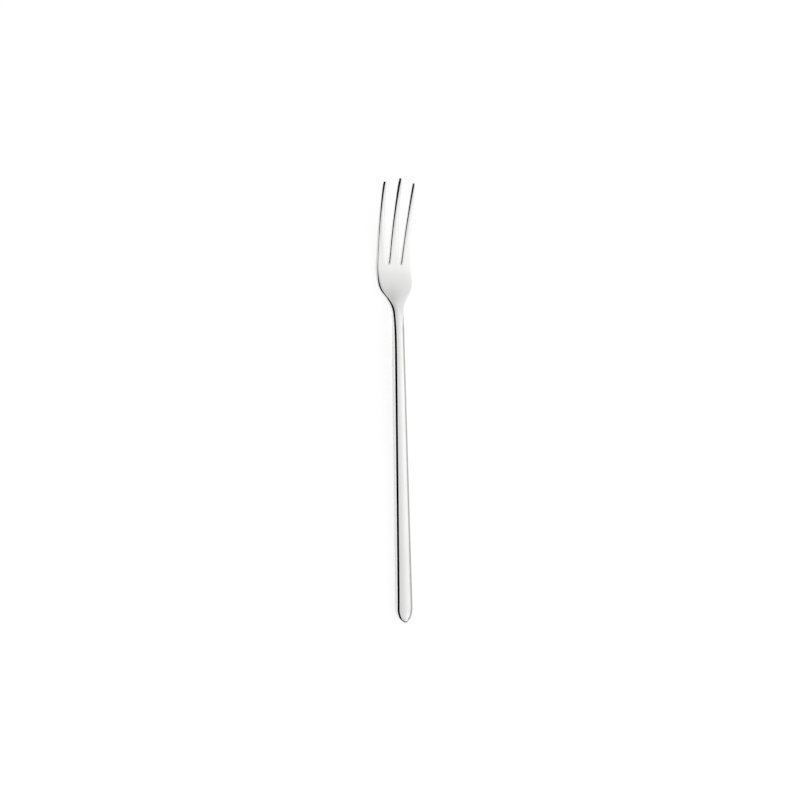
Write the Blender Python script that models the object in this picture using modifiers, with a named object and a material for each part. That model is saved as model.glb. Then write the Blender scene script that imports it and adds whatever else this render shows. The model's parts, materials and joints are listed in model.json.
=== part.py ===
"""A three-tined spaghetti fork, pressed from one blank of stainless steel and mirror polished.

The fork is drawn along +Y, from the end of the handle at y = 0 to the tips of the tines, with its
front face up. A coarse half grid follows the back of the blank. It is mirrored, given the thickness of
the steel upwards, and rounded. The fork is then laid on the plane z = 0 the way it rests on a table,
with the middle of its length at the origin.
"""

import math

import bmesh
import bpy
import numpy as np

MM = 0.001

# Lengths along the fork, from the handle's end to the tip of the middle tine
HANDLE_LENGTH = 143.8 * MM
NECK_TO_SHOULDER = 8.4 * MM
SHOULDER_TO_SLOTS = 16.0 * MM
TINE_LENGTH = 39.7 * MM
OUTER_TINE_SHORTER = 1.9 * MM
END_ROUND_LENGTH = 6.0 * MM
WAIST_LENGTH = 22 * MM

# The shoulders are an S curve. They reach the palm's full width some softnesses past their middle.
SHOULDER_SOFTNESS = 2.0 * MM
SHOULDER_REACH = 4

# Widths across the fork
HANDLE_END_WIDTH = 8.8 * MM
NECK_WIDTH = 5.85 * MM
HEAD_WIDTH = 19.5 * MM
TIP_SPAN = 18.2 * MM
SLOT_ROOT_WIDTH = 0.9 * MM
TINE_TIP_WIDTH = 2.35 * MM
TINE_HOLLOW = 0.4 * MM

# Thickness of the steel: thickest some way below the neck, thin in the head
HANDLE_END_THICKNESS = 3.5 * MM
NECK_THICKNESS = 4.2 * MM
PALM_THICKNESS = 2.0 * MM
TIP_THICKNESS = 1.4 * MM
THINNING_BEFORE_NECK = 20 * MM
THINNING_LENGTH = 32 * MM
END_LIFT = 2.4 * MM
END_LIFT_LENGTH = 6 * MM

# Slope of the front at the outline, where it falls away from the centre line
CROWN_SLOPE = 0.085

# Side view: the front drops from the neck to the palm, and the tines curve up along an arc
FRONT_DROP = 4.1 * MM
DROP_BEFORE_NECK = 7 * MM
DROP_LENGTH = 30 * MM
ARC_RADIUS = 125 * MM
ARC_BEFORE_SLOTS = 7 * MM
OUTER_TINE_LOWER = 0.4 * MM

# How far the rounding of the edges reaches in: on the handle, on the palm, along the slots and at the
# tips. A narrow handle limits it to a share of half its width. The tuck draws in a tine's faces at its tip.
HANDLE_EDGE = 2.2 * MM
PALM_EDGE = 0.5 * MM
SLOT_EDGE = 0.9 * MM
TIP_EDGE = 0.75 * MM
WIDEST_EDGE = 0.85
TIP_TUCK = 0.3 * MM

# Round tips of the tines, seen from above: their length, and the width left at the end
TIP_ROUND_LENGTH = 1.0 * MM
TIP_END_WIDTH = 1.3 * MM

# Places along the fork
NECK_AT = HANDLE_LENGTH
SHOULDER_AT = NECK_AT + NECK_TO_SHOULDER
PALM_AT = SHOULDER_AT + SHOULDER_REACH * SHOULDER_SOFTNESS
SLOT_ROOT_AT = SHOULDER_AT + SHOULDER_TO_SLOTS
TIP_AT = SLOT_ROOT_AT + TINE_LENGTH
THINNING_AT = NECK_AT - THINNING_BEFORE_NECK
DROP_AT = NECK_AT - DROP_BEFORE_NECK
THICKEST = max(HANDLE_END_THICKNESS, NECK_THICKNESS)

# Rows of the cage. A row at the handle's end leaves the outline at an angle in degrees round the end's
# ellipse, and crosses the centre line at a distance from the end.
END_ROWS = (
    (42, 0.0),
    (60, HANDLE_EDGE),
    (76, 0.6 * END_ROUND_LENGTH),
    (90, END_ROUND_LENGTH),
)
HANDLE_ROWS = 5
NECK_ROWS = 3
SHOULDER_ROWS = 7
TINE_ROWS = 6

# Columns of the half cage, counted from the centre line
MIDDLE_TINE_EDGE = 2
OUTER_TINE_EDGE = 3
OUTLINE = 6
TINE_EDGES = (MIDDLE_TINE_EDGE, OUTER_TINE_EDGE, OUTLINE)

SUBDIVISIONS = 1
STEEL_COLOUR = (0.86, 0.86, 0.85, 1.0)
STEEL_ROUGHNESS = 0.08


def share(value, start, end):
    """How far value has come from start to end, from 0 to 1."""
    return min(1.0, max(0.0, (value - start) / (end - start)))


def ease(t):
    """A smooth step, level at both ends."""
    return t * t * (3 - 2 * t)


def mix(a, b, t):
    return a + (b - a) * t


def half_width(y):
    """Half the outline's width: the handle's taper, the round shoulders and the head's slight waist."""
    handle = mix(HANDLE_END_WIDTH, NECK_WIDTH, share(y, END_ROUND_LENGTH, NECK_AT))
    head = mix(HEAD_WIDTH, TIP_SPAN, ease(share(y, SHOULDER_AT, SHOULDER_AT + WAIST_LENGTH)))
    swell = 1 / (1 + math.exp((SHOULDER_AT - y) / SHOULDER_SOFTNESS))
    return mix(handle, head, swell) / 2


def tine_width(y):
    """Width of one tine, which has slightly hollow sides. Three of them share the root with two slots."""
    t = share(y, SLOT_ROOT_AT, TIP_AT)
    root = (2 * half_width(SLOT_ROOT_AT) - 2 * SLOT_ROOT_WIDTH) / 3
    return mix(root, TINE_TIP_WIDTH, t) - 4 * TINE_HOLLOW * t * (1 - t)


def tip_inset(y):
    """How far the round tip lies inside the sides of the tine."""
    return (TINE_TIP_WIDTH - TIP_END_WIDTH) / 2 * share(y, TIP_AT - TIP_ROUND_LENGTH, TIP_AT)


def towards_tip(y):
    """From 0 at the roots of the tines to 1 at their tips."""
    return ease(share(y, SLOT_ROOT_AT, TIP_AT))


def edge_room(y):
    """The widest rounding that one side of a tine has room for."""
    return tine_width(y) / 3 - tip_inset(y) / 2


def outline_edge(y):
    """Reach of the rounding at the outline: wide on the handle, narrow on the palm, round at the tips."""
    head = min(mix(PALM_EDGE, TIP_EDGE, towards_tip(y)), edge_room(y))
    return mix(HANDLE_EDGE, head, ease(share(y, SHOULDER_AT, SLOT_ROOT_AT)))


def slot_edge(y):
    """Reach of the rounding along the slots."""
    return min(mix(SLOT_EDGE, TIP_EDGE, towards_tip(y)), edge_room(y))


def thinned(y):
    """From 0 on the handle to 1 in the head, where the blank is rolled thin."""
    return ease(share(y, THINNING_AT, THINNING_AT + THINNING_LENGTH))


def handle_height(y):
    """Height of the handle's front above its flat back."""
    return mix(HANDLE_END_THICKNESS, NECK_THICKNESS, share(y, 0, THINNING_AT))


def front_height(y):
    """Height of the front: along the handle, down to the palm and up again along the tines."""
    dropped = FRONT_DROP * ease(share(y, DROP_AT, DROP_AT + DROP_LENGTH))
    along_arc = max(0.0, y - SLOT_ROOT_AT + ARC_BEFORE_SLOTS)
    return handle_height(y) - dropped + along_arc**2 / (2 * ARC_RADIUS)


def thickness(y):
    """Thickness of the steel on the centre line. The back lifts at the handle's end."""
    handle = handle_height(y) - END_LIFT * (1 - ease(share(y, 0, END_LIFT_LENGTH)))
    head = mix(PALM_THICKNESS, TIP_THICKNESS, share(y, SLOT_ROOT_AT, TIP_AT))
    return mix(handle, head, thinned(y))


def crown(x, y):
    """How far the front falls away beside its centre line, as far as the palm, which is level across."""
    return CROWN_SLOPE * x**2 / (2 * half_width(y)) * (1 - ease(share(y, NECK_AT, PALM_AT)))


def tuck(column, y):
    """How far the edges of a tine are drawn in from its front and its back, so that its tip is round."""
    return TIP_TUCK * towards_tip(y) if column in TINE_EDGES else 0.0


def even_columns(half, edge):
    """Columns spread evenly across half the handle, with the last two at the rounded edge."""
    front = half - min(edge, WIDEST_EDGE * half)
    return [front * n / (OUTLINE - 1) for n in range(OUTLINE)] + [half]


def columns(y):
    """Distances of the half cage's columns from the centre line."""
    half = half_width(y) - tip_inset(y)
    side = tine_width(y) / 2 - tip_inset(y)
    head_half = half_width(max(y, SLOT_ROOT_AT))
    inner = head_half - tine_width(y) + tip_inset(y)
    head = [0.0, side - slot_edge(y), side, inner, inner + slot_edge(y)]
    handle = even_columns(half, outline_edge(y))
    split = ease(share(y, NECK_AT, PALM_AT))
    inside = [mix(a, b * half / head_half, split) for a, b in zip(handle, head)]
    return [*inside, *handle[-2:]]


def end_row(degrees, inset):
    """One curved row at the handle's end, as (x, y) points from the centre line outwards."""
    angle = math.radians(degrees)
    half = half_width(0) * math.sin(angle)
    depth = 1 - math.cos(angle)
    row = []
    for x in even_columns(half, HANDLE_EDGE):
        bow = 1 - math.sqrt(1 - (x / half * math.sin(angle)) ** 2)
        row.append((x, mix(inset, END_ROUND_LENGTH * depth, bow / depth)))
    return row


def straight_row(y):
    """One row across the handle or the head. The outer tines stop short of the middle one."""
    shorter = OUTER_TINE_SHORTER * share(y, SLOT_ROOT_AT, TIP_AT)
    return [(x, y - shorter if n >= OUTER_TINE_EDGE else y) for n, x in enumerate(columns(y))]


def stations():
    """Places of the straight rows along the fork."""
    handle = np.linspace(2 * END_ROUND_LENGTH, THINNING_AT, HANDLE_ROWS)
    neck = np.linspace(THINNING_AT, NECK_AT, NECK_ROWS + 1)[1:]
    shoulder = np.linspace(NECK_AT, PALM_AT, SHOULDER_ROWS + 1)[1:]
    palm = [mix(PALM_AT, SLOT_ROOT_AT, 0.5), SLOT_ROOT_AT - SLOT_EDGE, SLOT_ROOT_AT]
    tines = np.linspace(SLOT_ROOT_AT, TIP_AT - TIP_ROUND_LENGTH, TINE_ROWS + 1)[1:]
    return [*handle, *neck, *shoulder, *palm, *tines, TIP_AT]


def build_cage():
    """The half cage of the fork's back, open at the slot, with the steel's thickness as weights."""
    rows = [end_row(*place) for place in END_ROWS] + [straight_row(y) for y in stations()]
    slot_row = len(END_ROWS) + stations().index(SLOT_ROOT_AT)
    across = OUTLINE + 1
    cage = bmesh.new()
    bmesh.ops.create_grid(cage, x_segments=OUTLINE, y_segments=len(rows) - 1, size=1)
    weights = cage.verts.layers.deform.verify()
    for vertex in cage.verts:
        row, column = divmod(vertex.index, across)
        x, y = rows[row][column]
        lower = OUTER_TINE_LOWER * share(y, SLOT_ROOT_AT, TIP_AT) if column >= OUTER_TINE_EDGE else 0.0
        drawn_in = tuck(column, y)
        vertex.co = (x, y, front_height(y) - thickness(y) - lower + drawn_in)
        vertex[weights][0] = (thickness(y) - crown(x, y) - 2 * drawn_in) / THICKEST
    slot = []
    for face in cage.faces:
        first_row = min(vertex.index // across for vertex in face.verts)
        sides = {vertex.index % across for vertex in face.verts}
        if first_row >= slot_row and sides == {MIDDLE_TINE_EDGE, OUTER_TINE_EDGE}:
            slot.append(face)
    bmesh.ops.delete(cage, geom=slot, context="FACES")
    mesh = bpy.data.meshes.new("fork")
    cage.to_mesh(mesh)
    cage.free()
    return mesh


def add_modifiers(fork):
    """Makes the half cage whole, thick and smooth."""
    mirror = fork.modifiers.new("both_halves", "MIRROR")
    mirror.merge_threshold = 0.01 * MM
    steel = fork.modifiers.new("steel", "SOLIDIFY")
    steel.thickness = THICKEST
    steel.offset = 1.0
    steel.vertex_group = "thickness"
    smooth = fork.modifiers.new("smooth", "SUBSURF")
    smooth.levels = SUBDIVISIONS
    smooth.render_levels = SUBDIVISIONS


def polished_steel():
    material = bpy.data.materials.new("polished_steel")
    material.use_nodes = True
    shader = material.node_tree.nodes["Principled BSDF"]
    shader.inputs["Base Color"].default_value = STEEL_COLOUR
    shader.inputs["Metallic"].default_value = 1.0
    shader.inputs["Roughness"].default_value = STEEL_ROUGHNESS
    return material


def finished_points(fork):
    """Points of the finished surface, in the object's own frame."""
    bpy.context.view_layer.update()
    mesh = fork.evaluated_get(bpy.context.evaluated_depsgraph_get()).data
    return np.array([vertex.co for vertex in mesh.vertices])


def resting_edge(points):
    """The edge of the side view's lower hull that lies under the middle of the fork."""
    hull = []
    for y, z in sorted((y, z) for x, y, z in points):
        while len(hull) > 1:
            (ya, za), (yb, zb) = hull[-2:]
            if (yb - ya) * (z - za) > (zb - za) * (y - ya):
                break
            hull.pop()
        hull.append((y, z))
    middle = points[:, 1].mean()
    return next((a, b) for a, b in zip(hull, hull[1:]) if b[0] >= middle)


def lay_on_table(fork):
    """Tilts the fork on to its handle's end and the heel of its head, and centres it on the origin."""
    points = finished_points(fork)
    (end_y, end_z), (heel_y, heel_z) = resting_edge(points)
    tilt = -math.atan2(heel_z - end_z, heel_y - end_y)
    y = points[:, 1] * math.cos(tilt) - points[:, 2] * math.sin(tilt)
    z = points[:, 1] * math.sin(tilt) + points[:, 2] * math.cos(tilt)
    fork.rotation_euler.x = tilt
    fork.location = (0.0, -(y.min() + y.max()) / 2, -z.min())


def main():
    for old in list(bpy.data.objects):
        bpy.data.objects.remove(old)
    collection = bpy.data.collections.new("spaghetti_fork")
    bpy.context.scene.collection.children.link(collection)
    mesh = build_cage()
    mesh.materials.append(polished_steel())
    mesh.shade_smooth()
    fork = bpy.data.objects.new("fork", mesh)
    fork.vertex_groups.new(name="thickness")
    collection.objects.link(fork)
    add_modifiers(fork)
    lay_on_table(fork)


main()
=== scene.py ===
"""The looks of the spaghetti fork: its finished surface, polished steel, a plain studio and the camera."""

import json
import math

import bmesh
import bpy
import numpy as np
from mathutils import Matrix, Vector


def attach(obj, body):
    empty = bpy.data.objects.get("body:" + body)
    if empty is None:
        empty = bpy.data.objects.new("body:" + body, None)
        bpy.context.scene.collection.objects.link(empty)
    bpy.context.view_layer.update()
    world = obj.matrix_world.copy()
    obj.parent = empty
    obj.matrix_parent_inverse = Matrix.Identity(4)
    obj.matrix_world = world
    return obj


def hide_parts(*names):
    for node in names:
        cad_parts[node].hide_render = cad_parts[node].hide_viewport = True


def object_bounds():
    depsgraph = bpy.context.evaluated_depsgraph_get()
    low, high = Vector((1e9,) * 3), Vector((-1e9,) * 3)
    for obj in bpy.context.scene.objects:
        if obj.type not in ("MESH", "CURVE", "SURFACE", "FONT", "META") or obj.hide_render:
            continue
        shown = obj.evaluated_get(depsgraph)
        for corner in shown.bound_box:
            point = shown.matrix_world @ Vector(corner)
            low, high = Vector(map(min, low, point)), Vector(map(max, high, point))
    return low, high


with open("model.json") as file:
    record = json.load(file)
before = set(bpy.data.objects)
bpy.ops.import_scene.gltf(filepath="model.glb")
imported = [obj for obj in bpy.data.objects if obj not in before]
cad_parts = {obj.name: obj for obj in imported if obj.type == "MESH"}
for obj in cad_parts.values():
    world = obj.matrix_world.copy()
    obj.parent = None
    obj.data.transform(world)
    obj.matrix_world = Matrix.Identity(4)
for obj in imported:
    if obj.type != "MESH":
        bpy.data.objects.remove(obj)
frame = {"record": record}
cad_low, cad_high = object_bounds()

MM = 0.001

# Lengths along the fork, from the handle's end to the tip of the middle tine
HANDLE_LENGTH = 143.8 * MM
NECK_TO_SHOULDER = 8.4 * MM
SHOULDER_TO_SLOTS = 16.0 * MM
TINE_LENGTH = 39.7 * MM
OUTER_TINE_SHORTER = 1.9 * MM
END_ROUND_LENGTH = 6.0 * MM
WAIST_LENGTH = 22 * MM

# The shoulders are an S curve. They reach the palm's full width some softnesses past their middle.
SHOULDER_SOFTNESS = 2.0 * MM
SHOULDER_REACH = 4

# Widths across the fork
HANDLE_END_WIDTH = 8.8 * MM
NECK_WIDTH = 5.85 * MM
HEAD_WIDTH = 19.5 * MM
TIP_SPAN = 18.2 * MM
SLOT_ROOT_WIDTH = 0.9 * MM
TINE_TIP_WIDTH = 2.35 * MM
TINE_HOLLOW = 0.4 * MM

# Thickness of the steel: thickest some way below the neck, thin in the head
HANDLE_END_THICKNESS = 3.5 * MM
NECK_THICKNESS = 4.2 * MM
PALM_THICKNESS = 2.0 * MM
TIP_THICKNESS = 1.4 * MM
THINNING_BEFORE_NECK = 20 * MM
THINNING_LENGTH = 32 * MM
END_LIFT = 2.4 * MM
END_LIFT_LENGTH = 6 * MM

# Slope of the front at the outline, where it falls away from the centre line
CROWN_SLOPE = 0.085

# Side view: the front drops from the neck to the palm, and the tines curve up along an arc
FRONT_DROP = 4.1 * MM
DROP_BEFORE_NECK = 7 * MM
DROP_LENGTH = 30 * MM
ARC_RADIUS = 125 * MM
ARC_BEFORE_SLOTS = 7 * MM
OUTER_TINE_LOWER = 0.4 * MM

# How far the rounding of the edges reaches in: on the handle, on the palm, along the slots and at the
# tips. A narrow handle limits it to a share of half its width. The tuck draws in a tine's faces at its tip.
HANDLE_EDGE = 2.2 * MM
PALM_EDGE = 0.5 * MM
SLOT_EDGE = 0.9 * MM
TIP_EDGE = 0.75 * MM
WIDEST_EDGE = 0.85
TIP_TUCK = 0.3 * MM

# Round tips of the tines, seen from above: their length, and the width left at the end
TIP_ROUND_LENGTH = 1.0 * MM
TIP_END_WIDTH = 1.3 * MM

# Places along the fork
NECK_AT = HANDLE_LENGTH
SHOULDER_AT = NECK_AT + NECK_TO_SHOULDER
PALM_AT = SHOULDER_AT + SHOULDER_REACH * SHOULDER_SOFTNESS
SLOT_ROOT_AT = SHOULDER_AT + SHOULDER_TO_SLOTS
TIP_AT = SLOT_ROOT_AT + TINE_LENGTH
THINNING_AT = NECK_AT - THINNING_BEFORE_NECK
DROP_AT = NECK_AT - DROP_BEFORE_NECK
THICKEST = max(HANDLE_END_THICKNESS, NECK_THICKNESS)

# Rows of the cage. A row at the handle's end leaves the outline at an angle in degrees round the end's
# ellipse, and crosses the centre line at a distance from the end.
END_ROWS = (
    (42, 0.0),
    (60, HANDLE_EDGE),
    (76, 0.6 * END_ROUND_LENGTH),
    (90, END_ROUND_LENGTH),
)
HANDLE_ROWS = 5
NECK_ROWS = 3
SHOULDER_ROWS = 7
TINE_ROWS = 6

# Columns of the half cage, counted from the centre line
MIDDLE_TINE_EDGE = 2
OUTER_TINE_EDGE = 3
OUTLINE = 6
TINE_EDGES = (MIDDLE_TINE_EDGE, OUTER_TINE_EDGE, OUTLINE)

# The two halves join where their points lie this near, and the cage is divided this often
MERGE_DISTANCE = 0.01 * MM
SUBDIVISIONS = 4

# Camera: where it looks from, as a direction, and how its frame lies over the fork
CAMERA_DIRECTION = Vector((-0.5, -0.06, 0.864)).normalized()
CAMERA_DISTANCE = 900 * MM
CAMERA_TARGET = Vector((-0.12, -0.12, 3.7)) * MM
CAMERA_LEAN = math.atan(0.0291)
LENS = 86.67
SENSOR = 36.0
CLIP_START = 10 * MM

# Levels that rise from nothing to all, or fall from all to nothing
NONE_TO_ALL = (0.0, 1.0)
ALL_TO_NONE = (1.0, 0.0)

# Studio. A rectangle is a corner and two sides. A change of level is the stretch over which it happens and
# the levels at its two ends: the panel's stretches are places, the room's are components of a direction.
# The floor has one tone and glow to the camera, and another in the steel.
PANEL = (Vector((-0.035, -0.53, 0.6)), Vector((1.635, 0.0, 0.0)), Vector((0.0, 1.07, 0.0)))
PANEL_LEFT_EDGE = ((-0.035, -0.01), NONE_TO_ALL)
PANEL_BRIGHTENS = ((0.27, 0.4), (0.843, 1.15))
PANEL_NEAR_FADE = ((-0.3, 0.06), (0.85, 1.0))
PANEL_FAR_FADE = ((0.06, 0.41), (1.0, 0.72))
PANEL_FAR_EDGE = ((0.155, 0.275), (1.0, 0.2))
PANEL_FAR_SLANT = 0.5
GREY_CARD = (Vector((0.06, -0.2, 0.0)), Vector((0.0, 0.249, 0.0)), Vector((0.0, 0.0, 0.0775)))
GREY_CARD_LEVEL = 0.5
DARK_CARD = (Vector((-0.016, -0.1077, 0.0)), Vector((0.022, 0.0, 0.0)), Vector((0.0, 0.0, 0.009)))
ROOM_LEVEL = 0.9
DARK_LEVEL = 0.005
DARK_RIGHT = ((-0.06, -0.02), ALL_TO_NONE)
DARK_NEAR = ((-0.64, -0.54), NONE_TO_ALL)
DARK_FAR = ((0.5, 0.62), ALL_TO_NONE)
FLOOR_SIZE = 4.0
FLOOR_TONES = (0.3, 1.0)
FLOOR_GLOWS = (0.846, 0.43)
WHITE = (1.0, 1.0, 1.0, 1.0)

# Steel: sizes of its marks along X, Y and Z, the noise levels between which they show, and their effect
STEEL_COLOUR = (0.875, 0.875, 0.87, 1.0)
HAZED_COLOUR = (0.855, 0.855, 0.848, 1.0)
POLISH = 0.045
HAZE_SIZE = Vector((14, 22, 14)) * MM
HAZE = ((0.42, 0.68), NONE_TO_ALL)
HAZE_ROUGHNESS = 0.06
HAIRLINE_SIZE = Vector((0.14, 14, 0.14)) * MM
HAIRLINES = ((0.35, 0.7), NONE_TO_ALL)
HAIRLINE_ROUGHNESS = 0.04
HAIRLINE_HEIGHT = 0.0002 * MM
SCRATCH_SIZE = Vector((0.16, 5, 0.16)) * MM
SCRATCH_TURNS = (math.radians(-24), math.radians(9), math.radians(38))
SCRATCHES = ((0.64, 0.7), NONE_TO_ALL)
SCUFF_ROUGHNESS = 0.16
SCUFF_DEPTH = 0.001 * MM
WORN_TIP_LENGTH = 16 * MM
WORN_BACK_HEIGHT = 0.5 * MM
WAVE_SIZE = Vector((10, 18, 10)) * MM
WAVE_HEIGHT = 0.015 * MM


def share(value, start, end):
    """How far value has come from start to end, from 0 to 1."""
    return min(1.0, max(0.0, (value - start) / (end - start)))


def ease(t):
    """A smooth step, level at both ends."""
    return t * t * (3 - 2 * t)


def mix(a, b, t):
    """The value at the share t of the way from a to b."""
    return a + (b - a) * t


def half_width(y):
    """Half the outline's width: the handle's taper, the round shoulders and the head's slight waist."""
    handle = mix(HANDLE_END_WIDTH, NECK_WIDTH, share(y, END_ROUND_LENGTH, NECK_AT))
    head = mix(HEAD_WIDTH, TIP_SPAN, ease(share(y, SHOULDER_AT, SHOULDER_AT + WAIST_LENGTH)))
    swell = 1 / (1 + math.exp((SHOULDER_AT - y) / SHOULDER_SOFTNESS))
    return mix(handle, head, swell) / 2


def tine_width(y):
    """Width of one tine, which has slightly hollow sides. Three of them share the root with two slots."""
    t = share(y, SLOT_ROOT_AT, TIP_AT)
    root = (2 * half_width(SLOT_ROOT_AT) - 2 * SLOT_ROOT_WIDTH) / 3
    return mix(root, TINE_TIP_WIDTH, t) - 4 * TINE_HOLLOW * t * (1 - t)


def tip_inset(y):
    """How far the round tip lies inside the sides of the tine."""
    return (TINE_TIP_WIDTH - TIP_END_WIDTH) / 2 * share(y, TIP_AT - TIP_ROUND_LENGTH, TIP_AT)


def towards_tip(y):
    """From 0 at the roots of the tines to 1 at their tips."""
    return ease(share(y, SLOT_ROOT_AT, TIP_AT))


def edge_room(y):
    """The widest rounding that one side of a tine has room for."""
    return tine_width(y) / 3 - tip_inset(y) / 2


def outline_edge(y):
    """Reach of the rounding at the outline: wide on the handle, narrow on the palm, round at the tips."""
    head = min(mix(PALM_EDGE, TIP_EDGE, towards_tip(y)), edge_room(y))
    return mix(HANDLE_EDGE, head, ease(share(y, SHOULDER_AT, SLOT_ROOT_AT)))


def slot_edge(y):
    """Reach of the rounding along the slots."""
    return min(mix(SLOT_EDGE, TIP_EDGE, towards_tip(y)), edge_room(y))


def thinned(y):
    """From 0 on the handle to 1 in the head, where the blank is rolled thin."""
    return ease(share(y, THINNING_AT, THINNING_AT + THINNING_LENGTH))


def handle_height(y):
    """Height of the handle's front above its flat back."""
    return mix(HANDLE_END_THICKNESS, NECK_THICKNESS, share(y, 0, THINNING_AT))


def front_height(y):
    """Height of the front: along the handle, down to the palm and up again along the tines."""
    dropped = FRONT_DROP * ease(share(y, DROP_AT, DROP_AT + DROP_LENGTH))
    along_arc = max(0.0, y - SLOT_ROOT_AT + ARC_BEFORE_SLOTS)
    return handle_height(y) - dropped + along_arc**2 / (2 * ARC_RADIUS)


def thickness(y):
    """Thickness of the steel on the centre line. The back lifts at the handle's end."""
    handle = handle_height(y) - END_LIFT * (1 - ease(share(y, 0, END_LIFT_LENGTH)))
    head = mix(PALM_THICKNESS, TIP_THICKNESS, share(y, SLOT_ROOT_AT, TIP_AT))
    return mix(handle, head, thinned(y))


def crown(x, y):
    """How far the front falls away beside its centre line, as far as the palm, which is level across."""
    return CROWN_SLOPE * x**2 / (2 * half_width(y)) * (1 - ease(share(y, NECK_AT, PALM_AT)))


def tuck(column, y):
    """How far the edges of a tine are drawn in from its front and its back, so that its tip is round."""
    return TIP_TUCK * towards_tip(y) if column in TINE_EDGES else 0.0


def even_columns(half, edge):
    """Columns spread evenly across half the handle, with the last two at the rounded edge."""
    front = half - min(edge, WIDEST_EDGE * half)
    return [front * n / (OUTLINE - 1) for n in range(OUTLINE)] + [half]


def columns(y):
    """Distances of the half cage's columns from the centre line."""
    half = half_width(y) - tip_inset(y)
    side = tine_width(y) / 2 - tip_inset(y)
    head_half = half_width(max(y, SLOT_ROOT_AT))
    inner = head_half - tine_width(y) + tip_inset(y)
    head = [0.0, side - slot_edge(y), side, inner, inner + slot_edge(y)]
    handle = even_columns(half, outline_edge(y))
    split = ease(share(y, NECK_AT, PALM_AT))
    inside = [mix(a, b * half / head_half, split) for a, b in zip(handle, head)]
    return [*inside, *handle[-2:]]


def end_row(degrees, inset):
    """One curved row at the handle's end, as (x, y) points from the centre line outwards."""
    angle = math.radians(degrees)
    half = half_width(0) * math.sin(angle)
    depth = 1 - math.cos(angle)
    row = []
    for x in even_columns(half, HANDLE_EDGE):
        bow = 1 - math.sqrt(1 - (x / half * math.sin(angle)) ** 2)
        row.append((x, mix(inset, END_ROUND_LENGTH * depth, bow / depth)))
    return row


def straight_row(y):
    """One row across the handle or the head. The outer tines stop short of the middle one."""
    shorter = OUTER_TINE_SHORTER * share(y, SLOT_ROOT_AT, TIP_AT)
    return [(x, y - shorter if n >= OUTER_TINE_EDGE else y) for n, x in enumerate(columns(y))]


def stations():
    """Places of the straight rows along the fork."""
    handle = np.linspace(2 * END_ROUND_LENGTH, THINNING_AT, HANDLE_ROWS)
    neck = np.linspace(THINNING_AT, NECK_AT, NECK_ROWS + 1)[1:]
    shoulder = np.linspace(NECK_AT, PALM_AT, SHOULDER_ROWS + 1)[1:]
    palm = [mix(PALM_AT, SLOT_ROOT_AT, 0.5), SLOT_ROOT_AT - SLOT_EDGE, SLOT_ROOT_AT]
    tines = np.linspace(SLOT_ROOT_AT, TIP_AT - TIP_ROUND_LENGTH, TINE_ROWS + 1)[1:]
    return [*handle, *neck, *shoulder, *palm, *tines, TIP_AT]


def build_cage():
    """The half cage of the fork's back, open at the slot, with the steel's thickness as weights."""
    rows = [end_row(*place) for place in END_ROWS] + [straight_row(y) for y in stations()]
    slot_row = len(END_ROWS) + stations().index(SLOT_ROOT_AT)
    across = OUTLINE + 1
    cage = bmesh.new()
    bmesh.ops.create_grid(cage, x_segments=OUTLINE, y_segments=len(rows) - 1, size=1)
    weights = cage.verts.layers.deform.verify()
    for vertex in cage.verts:
        row, column = divmod(vertex.index, across)
        x, y = rows[row][column]
        lower = OUTER_TINE_LOWER * share(y, SLOT_ROOT_AT, TIP_AT) if column >= OUTER_TINE_EDGE else 0.0
        drawn_in = tuck(column, y)
        vertex.co = (x, y, front_height(y) - thickness(y) - lower + drawn_in)
        vertex[weights][0] = (thickness(y) - crown(x, y) - 2 * drawn_in) / THICKEST
    slot = []
    for face in cage.faces:
        first_row = min(vertex.index // across for vertex in face.verts)
        sides = {vertex.index % across for vertex in face.verts}
        if first_row >= slot_row and sides == {MIDDLE_TINE_EDGE, OUTER_TINE_EDGE}:
            slot.append(face)
    bmesh.ops.delete(cage, geom=slot, context="FACES")
    mesh = bpy.data.meshes.new("steel_fork")
    cage.to_mesh(mesh)
    cage.free()
    return mesh


def add_modifiers(fork):
    """Makes the half cage whole, thick and smooth."""
    mirror = fork.modifiers.new("both_halves", "MIRROR")
    mirror.merge_threshold = MERGE_DISTANCE
    steel = fork.modifiers.new("steel", "SOLIDIFY")
    steel.thickness = THICKEST
    steel.offset = 1.0
    steel.vertex_group = "thickness"
    smooth = fork.modifiers.new("smooth", "SUBSURF")
    smooth.levels = SUBDIVISIONS
    smooth.render_levels = SUBDIVISIONS


def lay_in_frame(fork):
    """Tilts the piece like the handle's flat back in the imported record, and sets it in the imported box."""
    back = next(m for m in frame["record"]["mounts"] if m["name"] == "handle_back")
    _, along, up = back["axis"]
    fork.rotation_euler.x = math.atan2(along, -up)
    bpy.context.view_layer.update()
    finished = fork.evaluated_get(bpy.context.evaluated_depsgraph_get())
    points = np.array([finished.matrix_world @ vertex.co for vertex in finished.data.vertices])
    low, high = points.min(axis=0), points.max(axis=0)
    fork.location = (0.0, (cad_low.y + cad_high.y - low[1] - high[1]) / 2, cad_low.z - low[2])
    fork.data.transform(fork.matrix_basis)
    fork.matrix_basis = Matrix.Identity(4)


def math_node(tree, operation, *values):
    """A Math node on sockets and numbers."""
    node = tree.nodes.new("ShaderNodeMath")
    node.operation = operation
    for socket, value in zip(node.inputs, values):
        if isinstance(value, (int, float)):
            socket.default_value = value
        else:
            tree.links.new(value, socket)
    return node.outputs[0]


def ramp(tree, value, places, levels, interpolation="SMOOTHSTEP"):
    """Goes from the first level to the second while value goes from the first place to the second."""
    node = tree.nodes.new("ShaderNodeMapRange")
    node.interpolation_type = interpolation
    tree.links.new(value, node.inputs["Value"])
    node.inputs["From Min"].default_value, node.inputs["From Max"].default_value = places
    node.inputs["To Min"].default_value, node.inputs["To Max"].default_value = levels
    return node.outputs["Result"]


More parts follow.
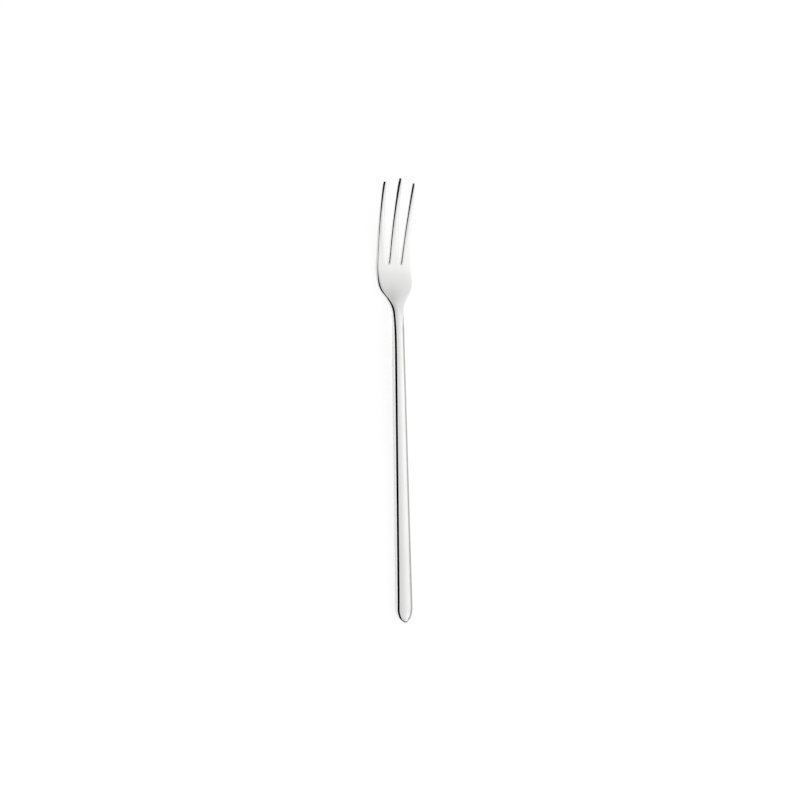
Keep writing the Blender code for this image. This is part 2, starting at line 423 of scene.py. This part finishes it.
def product(tree, changes):
    """Multiplies ramps, each given as its socket and its change of level."""
    level = None
    for socket, change in changes:
        step = ramp(tree, socket, *change)
        level = step if level is None else math_node(tree, "MULTIPLY", level, step)
    return level


def position(tree):
    """Sockets of the place on a surface, in metres."""
    place = tree.nodes.new("ShaderNodeSeparateXYZ")
    geometry = tree.nodes.new("ShaderNodeNewGeometry")
    tree.links.new(geometry.outputs["Position"], place.inputs[0])
    return place.outputs


def grain(tree, size, turn=0.0):
    """Noise whose features have a size along each axis, in metres, turned about the vertical."""
    coordinates = tree.nodes.new("ShaderNodeTexCoord")
    mapping = tree.nodes.new("ShaderNodeMapping")
    mapping.vector_type = "TEXTURE"
    mapping.inputs["Scale"].default_value = size
    mapping.inputs["Rotation"].default_value = (0.0, 0.0, turn)
    tree.links.new(coordinates.outputs["Object"], mapping.inputs["Vector"])
    noise = tree.nodes.new("ShaderNodeTexNoise")
    noise.inputs["Scale"].default_value = 1.0
    tree.links.new(mapping.outputs["Vector"], noise.inputs["Vector"])
    return noise.outputs["Fac"]


def total(tree, start, parts):
    """Adds to a number some sockets, each with its share."""
    for socket, part in parts:
        start = math_node(tree, "MULTIPLY_ADD", socket, part, start)
    return start


def polished_steel():
    """Mirror polish with slow waves, fine hairlines along the fork, a handling haze and worn places."""
    material = bpy.data.materials.new("polished_steel")
    material.use_nodes = True
    tree = material.node_tree
    shader = tree.nodes["Principled BSDF"]
    shader.inputs["Metallic"].default_value = 1.0

    haze = ramp(tree, grain(tree, HAZE_SIZE), *HAZE)
    hairlines = ramp(tree, grain(tree, HAIRLINE_SIZE), *HAIRLINES)
    scratches = None
    for turn in SCRATCH_TURNS:
        layer = ramp(tree, grain(tree, SCRATCH_SIZE, turn), *SCRATCHES)
        scratches = layer if scratches is None else math_node(tree, "MAXIMUM", scratches, layer)
    _, y, z = position(tree)
    at_tips = ramp(tree, y, (cad_high.y - WORN_TIP_LENGTH, cad_high.y), NONE_TO_ALL)
    at_rest = ramp(tree, z, (cad_low.z, cad_low.z + WORN_BACK_HEIGHT), ALL_TO_NONE)
    worn = math_node(tree, "MAXIMUM", at_tips, at_rest)
    scuffs = math_node(tree, "MULTIPLY", worn, scratches)

    dulling = ((haze, HAZE_ROUGHNESS), (hairlines, HAIRLINE_ROUGHNESS), (scuffs, SCUFF_ROUGHNESS))
    roughness = total(tree, POLISH, dulling)
    tree.links.new(roughness, shader.inputs["Roughness"])
    tint = tree.nodes.new("ShaderNodeValToRGB")
    tint.color_ramp.elements[0].color = STEEL_COLOUR
    tint.color_ramp.elements[1].color = HAZED_COLOUR
    tree.links.new(haze, tint.inputs["Fac"])
    tree.links.new(tint.outputs["Color"], shader.inputs["Base Color"])
    bump = tree.nodes.new("ShaderNodeBump")
    bump.inputs["Distance"].default_value = 1.0
    waves = grain(tree, WAVE_SIZE)
    relief = ((waves, WAVE_HEIGHT), (hairlines, HAIRLINE_HEIGHT), (scuffs, -SCUFF_DEPTH))
    height = total(tree, 0.0, relief)
    tree.links.new(height, bump.inputs["Height"])
    tree.links.new(bump.outputs["Normal"], shader.inputs["Normal"])
    return material


def make_fork():
    """The one piece of the fork, laid where the part lies."""
    mesh = build_cage()
    mesh.materials.append(polished_steel())
    mesh.shade_smooth()
    fork = bpy.data.objects.new("steel_fork", mesh)
    fork.vertex_groups.new(name="thickness")
    bpy.context.scene.collection.objects.link(fork)
    add_modifiers(fork)
    lay_in_frame(fork)
    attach(fork, "root")
    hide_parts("fork")


def stage_plane(name, corner, side, other_side):
    """A rectangle of the studio that shows in the steel but not to the camera, and its empty material."""
    mesh = bpy.data.meshes.new(name)
    corners = (corner, corner + side, corner + side + other_side, corner + other_side)
    mesh.from_pydata(corners, [], [(0, 1, 2, 3)])
    plane = bpy.data.objects.new(name, mesh)
    bpy.context.scene.collection.objects.link(plane)
    plane.visible_camera = False
    material = bpy.data.materials.new(name)
    material.use_nodes = True
    material.node_tree.nodes.clear()
    mesh.materials.append(material)
    return plane, material.node_tree


def emission(tree):
    """The strength socket of a white light that a material gives off."""
    light = tree.nodes.new("ShaderNodeEmission")
    output = tree.nodes.new("ShaderNodeOutputMaterial")
    tree.links.new(light.outputs[0], output.inputs["Surface"])
    return light.inputs["Strength"]


def make_panel():
    """A large soft panel overhead to the right, brightest in its middle, with a slanting far edge."""
    _, tree = stage_plane("soft_panel", *PANEL)
    x, y, _ = position(tree)
    changes = (
        (x, PANEL_LEFT_EDGE),
        (math_node(tree, "MULTIPLY_ADD", x, -PANEL_FAR_SLANT, y), PANEL_FAR_EDGE),
        (x, PANEL_BRIGHTENS),
        (y, PANEL_NEAR_FADE),
        (y, PANEL_FAR_FADE),
    )
    tree.links.new(product(tree, changes), emission(tree))


def make_card(name, level, sides):
    """A small card beside the fork that draws a line along its edge."""
    card, tree = stage_plane(name, *sides)
    card.visible_diffuse = False
    card.visible_shadow = False
    emission(tree).default_value = level


def make_room():
    """A bright room with one dark place on the left that draws the black lines in the steel."""
    world = bpy.data.worlds.new("room")
    bpy.context.scene.world = world
    world.use_nodes = True
    tree = world.node_tree
    background = tree.nodes["Background"]
    coordinates = tree.nodes.new("ShaderNodeTexCoord")
    direction = tree.nodes.new("ShaderNodeSeparateXYZ")
    tree.links.new(coordinates.outputs["Generated"], direction.inputs[0])
    x, y, _ = direction.outputs
    dark = product(tree, ((x, DARK_RIGHT), (y, DARK_NEAR), (y, DARK_FAR)))
    level = ramp(tree, dark, NONE_TO_ALL, (ROOM_LEVEL, DARK_LEVEL), "LINEAR")
    to_camera = tree.nodes.new("ShaderNodeLightPath").outputs["Is Camera Ray"]
    tree.links.new(math_node(tree, "MAXIMUM", level, to_camera), background.inputs["Strength"])
    background.inputs["Color"].default_value = WHITE


def make_floor():
    """A white floor that keeps the fork's shadow."""
    bpy.ops.mesh.primitive_plane_add(size=FLOOR_SIZE, location=(0.0, 0.0, cad_low.z))
    floor = bpy.context.object
    floor.name = "floor"
    material = bpy.data.materials.new("floor_white")
    material.use_nodes = True
    tree = material.node_tree
    tree.nodes.clear()
    path = tree.nodes.new("ShaderNodeLightPath")
    mirrored = math_node(tree, "MAXIMUM", path.outputs["Is Glossy Ray"], path.outputs["Is Transmission Ray"])
    matt = tree.nodes.new("ShaderNodeBsdfDiffuse")
    tree.links.new(ramp(tree, mirrored, NONE_TO_ALL, FLOOR_TONES), matt.inputs["Color"])
    seen = math_node(tree, "MAXIMUM", path.outputs["Is Camera Ray"], mirrored)
    level = ramp(tree, mirrored, NONE_TO_ALL, FLOOR_GLOWS)
    glow = tree.nodes.new("ShaderNodeEmission")
    tree.links.new(math_node(tree, "MULTIPLY", seen, level), glow.inputs["Strength"])
    both = tree.nodes.new("ShaderNodeAddShader")
    tree.links.new(matt.outputs[0], both.inputs[0])
    tree.links.new(glow.outputs[0], both.inputs[1])
    output = tree.nodes.new("ShaderNodeOutputMaterial")
    tree.links.new(both.outputs[0], output.inputs["Surface"])
    floor.data.materials.append(material)


def make_camera():
    """Looks down on the front from the left, with the fork leaning a little in the frame."""
    along = Vector((0.0, 1.0, 0.0))
    upright = (along - CAMERA_DIRECTION * along.dot(CAMERA_DIRECTION)).normalized()
    up = Matrix.Rotation(-CAMERA_LEAN, 3, CAMERA_DIRECTION) @ upright
    right = up.cross(CAMERA_DIRECTION)
    camera = bpy.data.objects.new("camera", bpy.data.cameras.new("camera"))
    camera.data.lens = LENS
    camera.data.sensor_width = SENSOR
    camera.data.clip_start = CLIP_START
    turn = Matrix((right, up, CAMERA_DIRECTION)).transposed().to_4x4()
    camera.matrix_world = Matrix.Translation(CAMERA_TARGET + CAMERA_DIRECTION * CAMERA_DISTANCE) @ turn
    bpy.context.scene.collection.objects.link(camera)
    bpy.context.scene.camera = camera


bpy.context.scene.view_settings.view_transform = "Standard"
make_fork()
make_room()
make_panel()
make_card("grey_card", GREY_CARD_LEVEL, GREY_CARD)
make_card("dark_card", DARK_LEVEL, DARK_CARD)
make_floor()
make_camera()
